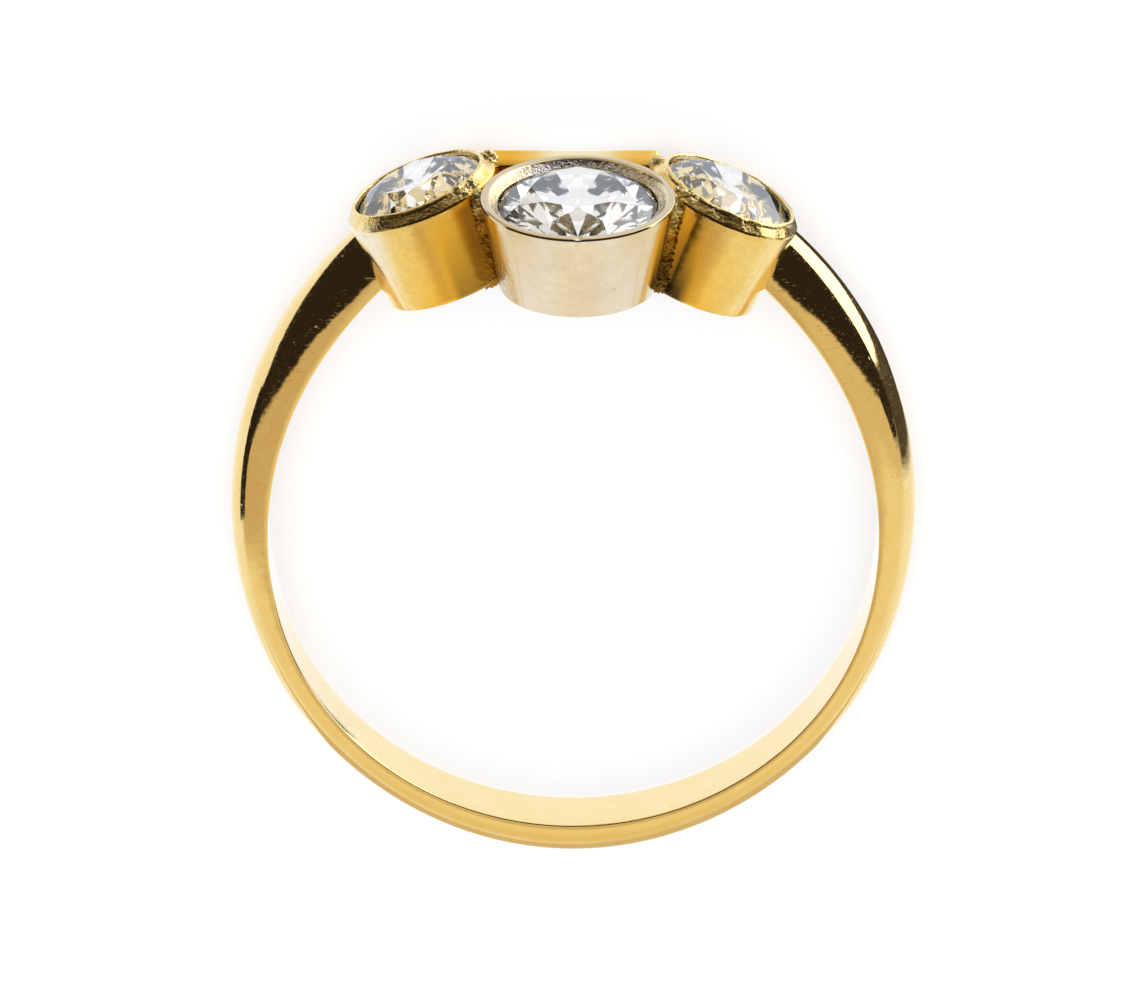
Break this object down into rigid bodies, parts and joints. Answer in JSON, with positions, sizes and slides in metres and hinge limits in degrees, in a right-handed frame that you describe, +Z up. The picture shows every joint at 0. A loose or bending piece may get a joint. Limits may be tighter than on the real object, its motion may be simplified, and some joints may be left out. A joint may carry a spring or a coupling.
{
  "type": "three stone ring",
  "caption": "Finger ring with a slim D section band and a row of round brilliants in tapered tube settings, the middle one larger and of white gold.",
  "frame": {"origin": "on the surface it rests on, under the middle of the footprint", "axes": "+Z up, near the finger axis; the stones point to -Y; the ring's left, as it is seen from +Z with the stones away from the viewer, is +X"},
  "size_m": [0.0196, 0.022, 0.007],
  "materials": {
    "yellow_gold": "polished yellow gold, lightly worn",
    "white_gold": "polished warm white gold, lightly worn",
    "diamond": "clear faceted stone"
  },
  "bodies": {
    "root": {"mount": "yellow_gold", "centre_collet": "white_gold", "centre_stone": "diamond", "left_stone": "diamond", "right_stone": "diamond"}
  },
  "joints": []
}
